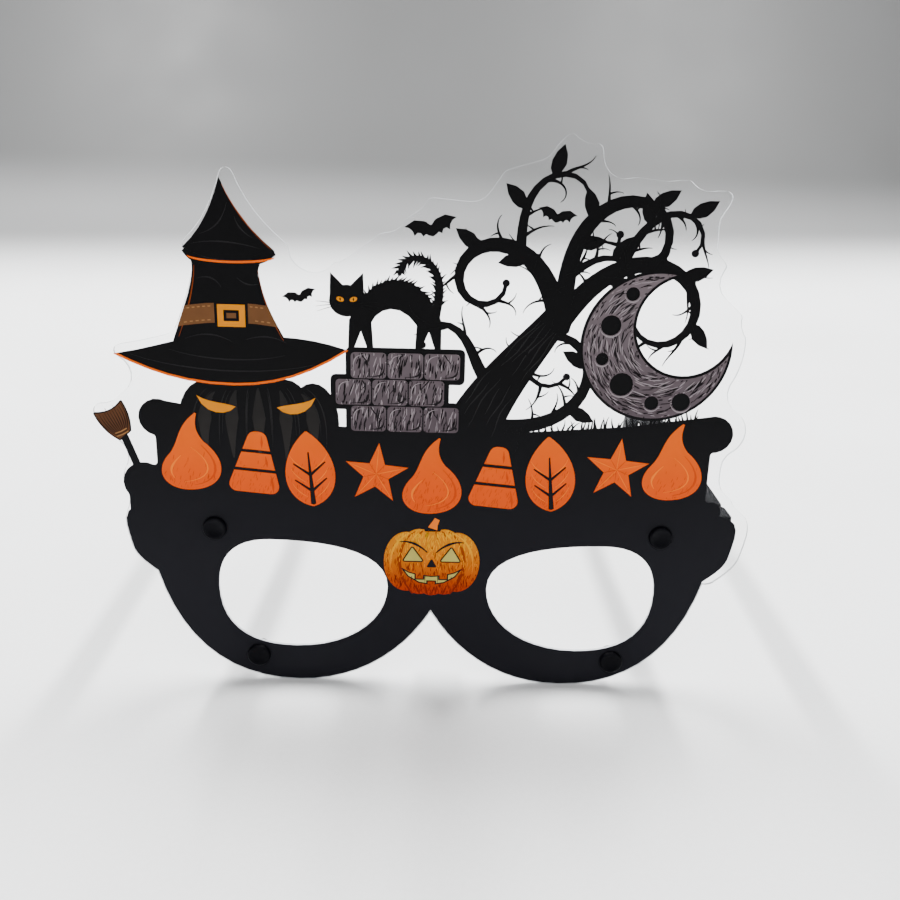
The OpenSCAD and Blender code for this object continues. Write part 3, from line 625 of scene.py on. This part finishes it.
BLACK_INK = ink("black_ink", (22, 22, 27), (12, 12, 13), foot=20, top=85, screen=0.03)
ORANGE_INK = ink("orange_ink", (210, 74, 0), (216, 88, 1), foot=50, top=72)
STONE_INK = ink("stone_ink", (76, 66, 71), (98, 88, 92), foot=68, top=108, mottle=0.5, gloss=0.1)
BROWN_INK = ink("brown_ink", (76, 44, 24), (96, 62, 34), foot=60, top=100, mottle=0.4, gloss=0.1)
AMBER_INK = ink("amber_ink", (176, 164, 82), (204, 124, 6), foot=40, top=60, mottle=0.3)
PUMPKIN_INK = ink("pumpkin_ink", (160, 38, 5), (196, 116, 3), foot=24, top=42, mottle=0.4)
FILMS = {"print_black": BLACK_INK, "print_orange": ORANGE_INK, "print_stone": STONE_INK,
         "print_brown": BROWN_INK, "print_amber": AMBER_INK, "print_pumpkin": PUMPKIN_INK}

LOBE_INK = ink("lobe_ink", (36, 34, 33), (29, 28, 28), foot=62, top=82, mottle=0.5)
GREY_LINE = ink("grey_line_ink", (27, 26, 27), (31, 30, 31))
CREASE_INK = ink("crease_ink", (132, 54, 12), (120, 50, 14))
STONE_DARK = ink("stone_dark_ink", (20, 18, 20), (26, 23, 25))
STONE_LIGHT = ink("stone_light_ink", (122, 112, 118), (136, 126, 130))
BROWN_DARK = ink("brown_dark_ink", (36, 22, 14), (40, 25, 16))
BROWN_LIGHT = ink("brown_light_ink", (126, 86, 50), (140, 98, 58))
ORANGE_DARK = ink("orange_dark_ink", (180, 54, 0), (188, 62, 0))
ORANGE_LIGHT = ink("orange_light_ink", (228, 108, 12), (232, 118, 16))
PUMPKIN_DARK = ink("pumpkin_dark_ink", (112, 24, 5), (140, 58, 3), foot=24, top=42)
PUMPKIN_LIGHT = ink("pumpkin_light_ink", (196, 70, 4), (218, 156, 8), foot=26, top=42)


# Pieces

# The clear skin stops this far short of the films and the frame, so that no two faces lie in one plane
SKIN_GAP = 0.015 * MM
SHEET_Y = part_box("front_sheet")[0].y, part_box("front_sheet")[1].y


def add_sheet():
    sheet = softened("clear_sheet", "front_sheet", 0.2 * MM, segments=2, flat=2)
    sheet.data.materials.append(CLEAR_FACE)
    sheet.data.materials.append(CLEAR_EDGE)
    for face in sheet.data.polygons:
        face.material_index = 0 if abs(face.normal.y) > 0.95 else 1
    middle = sum(SHEET_Y) / 2
    for vertex in sheet.data.vertices:
        vertex.co.y += SKIN_GAP if vertex.co.y < middle else -SKIN_GAP
    settle(sheet, "front", "clear_sheet", "front_sheet")


def add_moulded_parts():
    for name, node, body, width, slot, finish in (
            ("front_frame", "frame_front", "front", 0.45, "frame_plastic", BLACK_PLASTIC),
            ("left_temple_arm", "temple_left", "left_temple", 0.7, "frame_plastic", BLACK_PLASTIC),
            ("right_temple_arm", "temple_right", "right_temple", 0.7, "frame_plastic", BLACK_PLASTIC),
            ("left_pin", "hinge_pin_left", "front", 0.2, "pin_steel", PIN_STEEL),
            ("right_pin", "hinge_pin_right", "front", 0.2, "pin_steel", PIN_STEEL)):
        piece = softened(name, node, width * MM)
        piece.data.materials.append(finish)
        settle(piece, body, slot, node)


# Half profiles of the turned pieces: radii and heights in millimetres
RIVET_HEAD = [(0, 0.4), (0.7, 0.44), (1.3, 0.56), (1.8, 0.74), (2.15, 0.9), (2.4, 0.98), (2.6, 0.97),
              (2.78, 0.84), (2.92, 0.6), (2.98, 0.3), (3.0, 0), (1.5, 0), (1.5, -4.2), (0, -4.2)]
RIVET_CAP = [(0, 0), (1.5, 0.02), (1.95, 0.1), (2.25, 0.28), (2.4, 0.6), (2.4, 1.3), (1.53, 1.3),
             (1.53, 0.3), (0, 0.3)]


def add_rivets():
    for node in nodes:
        if not node.startswith("rivet"):
            continue
        low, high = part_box(node)
        middle = (low + high) / 2
        is_cap = "cap" in node
        place = Vector((middle.x, high.y if is_cap else BLACK_FRONT, middle.z))
        piece = turned(node.replace("rivet", "turned"), RIVET_CAP if is_cap else RIVET_HEAD, place)
        piece.data.materials.append(RIVET_PLASTIC)
        settle(piece, "front", "rivet_plastic", node)


def paint_films():
    for node, finish in FILMS.items():
        films = nodes[node].data.materials
        films.clear()
        films.append(finish)


# The print's fine drawing

# Where the source's motifs stand on the print
HAT, DARK_PUMPKIN, WALL, CAT = (-47.5, 9.7), (-42, -5.3), (-20, -6.8), (-10, 12.7)
MOON, BROOM, PUMPKIN = (51.5, 15.2), (-74.4, -9.7), (0, -40.8)
CAT_SIZE, BROOM_TURN = 0.9, 26
# The half axes of the ellipse that the hat's band follows, and half the gap that its stitches leave
BAND_REACH, BAND_RISE, STITCH_GAP = 22, 6.6, 4.2
# The wall: from block to block, from course to course, and how far the middle course is moved
BLOCK_STEP, COURSE_STEP, COURSE_SHIFT = 8.67, 6.5, -3.6
# The ornaments on the banner: their number, distance, two heights and turn in degrees
ORNAMENT_COUNT, ORNAMENT_STEP, TALL, SHORT, ORNAMENT_TURN = 9, 14.625, 19, 15.96, 5
# The foot of the row in its middle, how far the row rises towards the banner's ends, and the banner's width
ROW_FOOT, ROW_RISE, BANNER_WIDTH = -27.5, 6.5, 134

# Outlines of the ornaments, in shares of their height
FLAME = (((0, 0), (0.42, 0), (0.5, 0.34), (0.2, 0.62)), ((0.2, 0.62), (0.12, 0.74), (0.1, 0.84), (0.16, 1)),
         ((0.16, 1), (-0.1, 0.84), (-0.08, 0.66), (-0.22, 0.5)),
         ((-0.22, 0.5), (-0.5, 0.26), (-0.34, 0), (0, 0)))
LEAF = (((0, 0), (0.42, 0.12), (0.4, 0.68), (0, 1)), ((0, 1), (-0.4, 0.68), (-0.42, 0.12), (0, 0)))

# Start, heading, length and the bend at both ends of the tree's trunk and vines, as in the source
TRUNK_STEPS = 18
TRUNK = curl((7, -12.3), 80, 42, -1.7, 0.6, TRUNK_STEPS)
FORK = TRUNK[-1]
VINES = [((FORK[0] - 0.6, FORK[1] - 2), 106, 54, 0.3, 12.5), ((FORK[0], FORK[1] - 1), 84, 66, 0.6, -12),
         ((FORK[0], FORK[1] - 2), 56, 64, -0.6, -9.5), ((18.6, 34.7), 84, 33, 1.5, -13),
         ((14, -4.8), -4, 66, 0.8, 12), ((41.6, 33.3), 62, 31, 1, -14), ((28.6, 29.7), 40, 22, 1, -15),
         ((11, 7.7), 128, 24, -4, 18)]

# The pens: a stroke's widths in millimetres at its start, in its middle and at its end
HAIR, FINE, BOLD = (0.05, 0.2, 0.05), (0.06, 0.34, 0.06), (0.1, 0.6, 0.1)
TWIG, SPUR, BLADE = (0.95, 0.5, 0.12), (0.5, 0.3, 0.1), (0.6, 0.4, 0.08)
FOLD, RIM, STITCH = (2.2, 1.9, 0.9), (0.1, 0.3, 0.1), (0.24, 0.24, 0.24)
LOBE, TUFT, WHISKER, PUPIL = (0.3, 3.2, 0.4), (0.8, 0.45, 0.05), (0.2, 0.16, 0.05), (0.06, 0.4, 0.06)
CRACK, GLINT, SHADOW, CRATER = (0.35, 0.24, 0.06), (0.05, 0.28, 0.05), (0.05, 0.5, 0.05), (0.05, 0.4, 0.05)
BRISTLE, CORD, OUTLINE = (0.12, 0.3, 0.08), (0.3, 0.3, 0.3), (0.4, 0.4, 0.4)
RIB, RIB_TOP, RIB_FOOT, STEM = (0.2, 0.9, 0.3), (0.3, 0.6, 0.1), (0.1, 0.6, 0.3), (2.4, 1.7, 1.3)
BROW, NOSE = (0.2, 0.65, 0.3), (0.1, 1.0, 2.0)


def sheet_test():
    """A test of whether a place on the print lies on the sheet, with a margin in millimetres round it."""
    mesh = nodes["front_sheet"].data
    tree = BVHTree.FromPolygons([v.co for v in mesh.vertices], [p.vertices for p in mesh.polygons])

    def on_sheet(x, z, margin):
        for step in ((0, 0), (margin, 0), (-margin, 0), (0, margin), (0, -margin)):
            across, height = on_print(x + step[0], z + step[1])
            if tree.ray_cast(Vector((across, -1, height)), Vector((0, 1, 0)))[0] is None:
                return False
        return True
    return on_sheet


# Ranges of the twigs and of their spurs: the angle off the vine in degrees, and the length in millimetres
TWIG_EVERY, TWIG_ANGLE, TWIG_LENGTH = 2.2, (25, 70), (4.5, 9)
SPUR_ANGLE, SPUR_LENGTH = (5, 50), (1.6, 3.4)
TWIG_MARGIN = 0.7


def draw_tendrils():
    """Thin twigs that leave the vines on both sides and curl, as far as the sheet reaches."""
    chance = random.Random(11)
    on_sheet = sheet_test()
    twigs = []
    for start, heading, length, bend_start, bend_end in VINES:
        steps = max(6, int(length / TWIG_EVERY))
        line = curl(start, heading, length, bend_start, bend_end, steps)
        for i in range(2, steps, 2):
            side = chance.choice((-1, 1))
            ahead = heading_of(line[i - 1], line[i])
            twig = curl(line[i], ahead + side * chance.uniform(*TWIG_ANGLE), chance.uniform(*TWIG_LENGTH),
                        side * chance.uniform(-14, 6), side * chance.uniform(6, 34), 12)
            spur = curl(twig[5], ahead - side * chance.uniform(*SPUR_ANGLE), chance.uniform(*SPUR_LENGTH),
                        side * -8, side * -24, 6)
            if all(on_sheet(x, z, TWIG_MARGIN) for x, z in twig + spur):
                twigs += [(twig, TWIG), (spur, SPUR)]
    draw("twigs", twigs, "ink_black", BLACK_INK)


# The grass from left to right, and the ranges of its blades: angle, length and bend
GRASS_LEFT, GRASS_RIGHT = 17, 63
BLADE_ANGLE, BLADE_LENGTH, BLADE_BEND = (60, 120), (1.2, 3.6), (-22, 22)


def draw_grass():
    """Blades on the banner's top edge, right of the tree."""
    chance = random.Random(4)
    edge = bend((-67, 0), (-26.8, -8.67), (26.8, -8.67), (67, -1.2), 80)
    blades = []
    for x, z in edge:
        for _ in range(2):
            foot = (x + chance.uniform(-0.8, 0.8), z - 0.5)
            if GRASS_LEFT < foot[0] < GRASS_RIGHT:
                blade = curl(foot, chance.uniform(*BLADE_ANGLE), chance.uniform(*BLADE_LENGTH), 0,
                             chance.uniform(*BLADE_BEND), 6)
                blades.append((blade, BLADE))
    draw("grass", blades, "ink_black", BLACK_INK)


def draw_hat():
    creases = [bend((-8, 24.6), (-3, 22.8), (3, 22.8), (7, 24)),
               bend((-6.5, 29), (-3, 30), (-1, 32), (0, 36)),
               bend((5.5, 28.4), (3, 29.6), (2, 31.4), (1.6, 33)),
               bend((-7.6, 19), (-5, 20), (-3, 19), (-2, 17)),
               bend((6.6, 18), (4.4, 17.4), (3, 18), (1.6, 19.4)),
               bend((-11, 5), (-6, 7), (-3, 6), (0, 4.4)),
               bend((12.6, 4.4), (9, 6.4), (6, 6), (3, 5)),
               bend((-24, 1), (-14, -2.6), (6, -4), (19, -0.6)),
               bend((-15, 2.4), (-8, 0), (4, -0.6), (12, 1.4)),
               bend((-8.4, 26.8), (-4, 28), (2, 27.4), (7, 26))]
    rims = [bend((-0.9, 40), (1.2, 35), (5, 30), (9.6, 25.9)),
            bend((6.5, 21), (7.4, 14), (9.4, 9.6), (11.9, 5)),
            bend((-8, 22), (-8.3, 16.5), (-10.2, 11), (-12.4, 5.4))]
    folds = [bend((5.4, 23.2), (7.4, 23.7), (9, 24.2), (10.5, 25.1)),
             bend((-6.5, 23.2), (-8, 23.7), (-9.2, 24.4), (-10.3, 25.5)),
             bend((-7.5, -5.6), (-2.5, -6.5), (3.5, -6.5), (12, -4.8))]
    draw("hat_folds", penned(folds, FOLD, HAT), "ink_black", BLACK_INK)
    draw("hat_creases", penned(creases, FINE, HAT), "ink_black", GREY_LINE)
    draw("hat_rim_lines", penned(rims, RIM, HAT), "ink_brown", CREASE_INK)
    draw_hat_stitches()


def draw_hat_stitches():
    """Two rows of stitches along the band, with a gap at the buckle."""
    steps = 30
    stitches = []
    for foot, left, right in ((3.1, -11, 9.6), (6.3, -10.2, 8)):
        places = [left + (right - left) * i / steps for i in range(steps + 1)]
        row = [(x, foot + BAND_RISE * math.sqrt(1 - (x / BAND_REACH) ** 2)) for x in places]
        stitches += [row[i:i + 2] for i in range(0, steps, 2)
                     if abs(row[i][0]) > STITCH_GAP and abs(row[i + 1][0]) > STITCH_GAP]
    draw("hat_band_stitches", penned(stitches, STITCH, HAT), "ink_brown", BROWN_LIGHT, COLOR_FRONT)


def draw_dark_pumpkin():
    lobes = [bend((x * 0.78, 8.6 - abs(x) * 0.1), (x, 5), (x * 1.03, -2), (x * 0.96, -9))
             for x in (-13.2, -6.6, 0, 6.6, 13.2)]
    ribs = []
    for x in (-16.4, -9.8, -3.2, 3.2, 9.8, 16.4):
        rib = bend((x * 0.7, 8.6), (x * 0.95, 6), (x, 0), (x * 0.98, -6))
        beside = bend((x * 0.66, 7.6), (x * 0.86, 5), (x * 0.9, 1), (x * 0.9, -3))
        ribs += penned([rib], FINE, DARK_PUMPKIN) + penned([beside], HAIR, DARK_PUMPKIN)
    draw("dark_pumpkin_lobes", penned(lobes, LOBE, DARK_PUMPKIN), "ink_black", LOBE_INK)
    draw("dark_pumpkin_ribs", ribs, "ink_black", GREY_LINE)


# The ranges of the tufts: angle off the outline and length
TUFT_ANGLE, TUFT_LENGTH = (35, 65), (1.6, 2.6)


def draw_cat():
    """Fur along the back and on both sides of the tail, whiskers and pupils."""
    chance = random.Random(8)
    back = bend((-11, 7), (-9, 21), (8, 24), (12, 8), 30)
    tail = curl((10.6, 9), 82, 25, -1.4, 17, 26)
    fur = []
    for line, sides, inset in ((back[4:28], (1,), -0.8), (tail[3:], (-1, 1), 0.3)):
        for a, b in zip(line, line[1:]):
            ahead = heading_of(a, b)
            for side in sides:
                foot = moved([(inset, 0)], a, 1, ahead + 90 * side)[0]
                tuft = curl(foot, ahead + side * chance.uniform(*TUFT_ANGLE), chance.uniform(*TUFT_LENGTH),
                            0, side * 10, 5)
                fur += penned([tuft], TUFT, CAT, CAT_SIZE)
    for side in (-1, 1):
        whiskers = [curl((-12 + 1.6 * side, 12), 90 - side * 90 + side * rise, 6.4, 0, -side * 3, 8)
                    for rise in (-14, -2, 10)]
        fur += penned(whiskers, WHISKER, CAT, CAT_SIZE)
    draw("cat_fur_and_whiskers", fur, "ink_black", BLACK_INK)
    pupils = [[(-12 + side * 1.7, z) for z in (12.9, 13.4, 13.9)] for side in (-1, 1)]
    draw("cat_pupils", penned(pupils, PUPIL, CAT, CAT_SIZE), "ink_black", BLACK_INK, COLOR_FRONT)


# The cracks' steps: their length, their turn, and the headings that they stay between
CRACK_STEPS, CRACK_LENGTH, CRACK_TURN, CRACK_HEADINGS = 6, (0.5, 1.1), (-60, 60), (-130, -50)
# The moon's craters: place from the moon's middle, and radius
CRATERS = ((-11, 5, 2.4), (-12.5, -3, 1.5), (-7.5, -9, 2.8), (0, -13.4, 1.7), (7, -13, 2.2),
           (-6.5, 12.4, 1.6))


def draw_stone():
    """A crack, a lit corner and a shaded foot on each block, lit craters, and hatching on wall and moon."""
    chance = random.Random(5)
    cracks, glints = [], []
    for course in range(3):
        for block in range(3):
            x = WALL[0] + (COURSE_SHIFT if course == 1 else 0) + BLOCK_STEP * block
            z = WALL[1] + COURSE_STEP * course
            point, heading, crack = (x + chance.uniform(2, 6.4), z + 6), -90, []
            for _ in range(CRACK_STEPS):
                crack.append(point)
                heading += chance.uniform(*CRACK_TURN)
                heading = max(CRACK_HEADINGS[0], min(CRACK_HEADINGS[1], heading))
                point = curl(point, heading, chance.uniform(*CRACK_LENGTH), 0, 0, 1)[-1]
            cracks.append((crack, CRACK))
            corner = bend((x + 0.6, z + 1.2), (x + 0.5, z + 4), (x + 0.6, z + 5.6), (x + 3.4, z + 5.7))
            glints.append((corner, GLINT))
            shaded = bend((x + 4, z + 0.5), (x + 7.6, z + 0.4), (x + 8, z + 1), (x + 7.9, z + 4))
            cracks.append((shaded, SHADOW))
    for x, z, radius in CRATERS:
        reach = radius + 0.3
        arc = [(x + reach * math.cos(a / 10), z + reach * math.sin(a / 10)) for a in range(34, 62, 2)]
        glints += penned([arc], CRATER, MOON)
    draw("stone_cracks", cracks, "ink_stone", STONE_DARK, COLOR_FRONT, thickness=0.04)
    draw("stone_glints", glints, "ink_stone", STONE_LIGHT, COLOR_FRONT, thickness=0.045)
    for name, left, right, centre, angle, length in (
            ("wall", -40, 15, None, 82, 3.4), ("moon", 30, 80, MOON, 0, 5.6)):
        field = {"length": length, "angle": angle, "spread": 0.22, "left": left, "right": right,
                 "centre": centre}
        hatch(name + "_dark_hatching", "print_stone", "ink_stone", STONE_DARK, density=0.7, width=0.36,
              seed=3, **field)
        hatch(name + "_light_hatching", "print_stone", "ink_stone", STONE_LIGHT, density=0.4, width=0.26,
              seed=9, thickness=0.035, **field)


def draw_broom():
    bristles = [bend((i * 0.2, 0.7), (i * 0.5, 2.4), (i * 0.74, 4.6),
                     (i * 0.66, 7 + 0.6 * (i % 3) - abs(i) * 0.05)) for i in range(-5, 6)]
    bands = [[(-1.6, z), (0, z - 0.15), (1.6, z)] for z in (0.9, 1.7)]
    draw("broom_bristles", penned(bristles, BRISTLE, BROOM, 1, BROOM_TURN), "ink_brown", BROWN_DARK,
         COLOR_FRONT)
    draw("broom_bands", penned(bands, CORD, BROOM, 1, BROOM_TURN), "ink_brown", BROWN_LIGHT, COLOR_FRONT,
         thickness=0.045)


def draw_bark():
    """Wavy lines along the trunk, each at its own share of the trunk's width and broken once."""
    grain = []
    for k, share in enumerate((-0.36, -0.22, -0.06, 0.1, 0.24, 0.37)):
        line = []
        for i, (a, b) in enumerate(zip(TRUNK, TRUNK[1:])):
            ahead = math.atan2(b[1] - a[1], b[0] - a[0])
            out = share * (15 - 9 * i / TRUNK_STEPS) + 0.3 * math.sin(i * 1.3 + k * 2)
            line.append((a[0] - out * math.sin(ahead), a[1] + out * math.cos(ahead)))
        grain.append((line[3 + k % 3:9 + k % 2], FINE))
        grain.append((line[10 + k % 2:17], FINE))
    draw("bark_lines", grain, "ink_black", GREY_LINE)


# Each ornament's outlines, shades and glints, in shares of its height

def flame_strokes():
    shades = [(bend((0.02, 0.05), (0.36, 0.08), (0.4, 0.32), (0.17, 0.58)), BOLD)]
    glints = [(bend((-0.1, 0.1), (0.3, 0.12), (0.3, 0.34), (0.04, 0.56)), FINE),
              (bend((-0.22, 0.16), (-0.3, 0.28), (-0.22, 0.36), (-0.1, 0.46)), BOLD)]
    return [(bend(*arc, 18), OUTLINE) for arc in FLAME], shades, glints


def sweet_strokes():
    shades = [bend((reach, low), (reach, low + 0.05), (reach * 0.9, high - 0.08), (reach * 0.8, high))
              for low, high, reach in ((0.02, 0.3, 0.3), (0.43, 0.6, 0.18), (0.73, 0.92, 0.08))]
    return [], [(shade, BOLD) for shade in shades], []


def leaf_strokes():
    veins = [bend((0.06 * side, z), (0.12 * side, z + 0.04), (0.2 * side, z + 0.1), (0.24 * side, z + 0.2))
             for side in (-1, 1) for z in (0.12, 0.32, 0.5)]
    return [(bend(*arc, 18), OUTLINE) for arc in LEAF], [], [(vein, HAIR) for vein in veins]


def star_strokes():
    def ray(reach, degrees):
        a = math.radians(degrees)
        tip = (reach * math.sin(a), 0.5 + reach * math.cos(a))
        return [(0, 0.5), (tip[0] / 2, 0.25 + tip[1] / 2), tip], HAIR
    return [], [ray(0.2, 36 + 72 * k) for k in range(5)], [ray(0.44, 72 * k) for k in range(5)]


ORNAMENTS = (flame_strokes, sweet_strokes, leaf_strokes, star_strokes)


def draw_ornaments():
    rims, shades, glints = [], [], []
    for i in range(ORNAMENT_COUNT):
        x = (i - ORNAMENT_COUNT // 2) * ORNAMENT_STEP
        height, turn = (TALL, ORNAMENT_TURN) if i % 2 == 0 else (SHORT, -ORNAMENT_TURN)
        place = (x, ROW_FOOT + ROW_RISE * (2 * x / BANNER_WIDTH) ** 2 + (TALL - height) / 2)
        for kept, found in zip((rims, shades, glints), ORNAMENTS[i % 4]()):
            kept += [(moved(line, place, height, turn), widths) for line, widths in found]
    draw("ornament_rims", rims, "ink_orange", ORANGE_INK, COLOR_FRONT)
    draw("ornament_shades", shades, "ink_orange", ORANGE_DARK, COLOR_FRONT, thickness=0.04)
    draw("ornament_glints", glints, "ink_orange", ORANGE_LIGHT, COLOR_FRONT, thickness=0.045)
    hatch("ornament_shading", "print_orange", "ink_orange", ORANGE_DARK, density=1.6, length=1.8, width=0.2,
          angle=75, seed=21, sparse=0.062, dense=0.044, thickness=0.02)


def draw_pumpkin():
    ribs, glints = [], []
    for side in (-1, 1):
        for x in (1.9, 5.2, 8.5):
            rib = bend((side * x * 0.45, 8.4), (side * x * 1.02, 6), (side * x * 1.16, -3),
                       (side * x * 0.55, -8.8), 24)
            glint = bend((side * x * 0.62, 7.8), (side * x * 1.15, 6), (side * x * 1.28, 1),
                         (side * x * 1.2, -3), 24)
            if x > 8:
                ribs.append((rib, RIB))
                glints.append(glint)
            else:
                # The face takes the middle of the inner ribs
                ribs += [(rib[:6], RIB_TOP), (rib[-4:], RIB_FOOT)]
                glints.append(glint[:6])
    ribs = [(moved(line, PUMPKIN), widths) for line, widths in ribs]
    draw("pumpkin_ribs", ribs, "ink_pumpkin", PUMPKIN_DARK, COLOR_FRONT, thickness=0.02)
    draw("pumpkin_glints", penned(glints, BOLD, PUMPKIN), "ink_pumpkin", PUMPKIN_LIGHT, COLOR_FRONT,
         thickness=0.025)
    field = {"length": 2.2, "width": 0.24, "angle": 88, "spread": 0.4}
    hatch("pumpkin_shading", "print_pumpkin", "ink_pumpkin", PUMPKIN_DARK, density=3.5, seed=31,
          sparse=0.040, dense=0.022, thickness=0.02, **field)
    hatch("pumpkin_glow", "print_pumpkin", "ink_pumpkin", PUMPKIN_LIGHT, density=2.5, seed=32,
          sparse=0.030, dense=0.046, thickness=0.025, **field)
    brow = bend((8, 5.4), (5.6, 5.8), (3, 4.6), (1.1, 2.6))
    nose = [(0, 0.5), (0, -0.4), (0, -1.25)]
    creases = [[(x, -2.9 - 0.2 * abs(x)), (x, -4.2), (x, -6.2 + 0.12 * abs(x))] for x in (-5, -1.6, 1.6, 5)]
    marks = (penned([brow, mirrored(brow)], BROW, PUMPKIN) + penned([nose], NOSE, PUMPKIN)
             + penned(creases, HAIR, PUMPKIN))
    draw("pumpkin_face_lines", marks, "ink_black", BLACK_INK, COLOR_FRONT, thickness=0.04)
    stem = [(0.1, 9), (0.5, 10.2), (1.2, 11.6)]
    draw("pumpkin_stem", penned([stem], STEM, PUMPKIN), "ink_pumpkin", ORANGE_LIGHT)


add_camera()
add_table()
add_lights()
add_sheet()
add_moulded_parts()
add_rivets()
paint_films()
draw_tendrils()
draw_grass()
draw_hat()
draw_dark_pumpkin()
draw_cat()
draw_stone()
draw_broom()
draw_bark()
draw_ornaments()
draw_pumpkin()
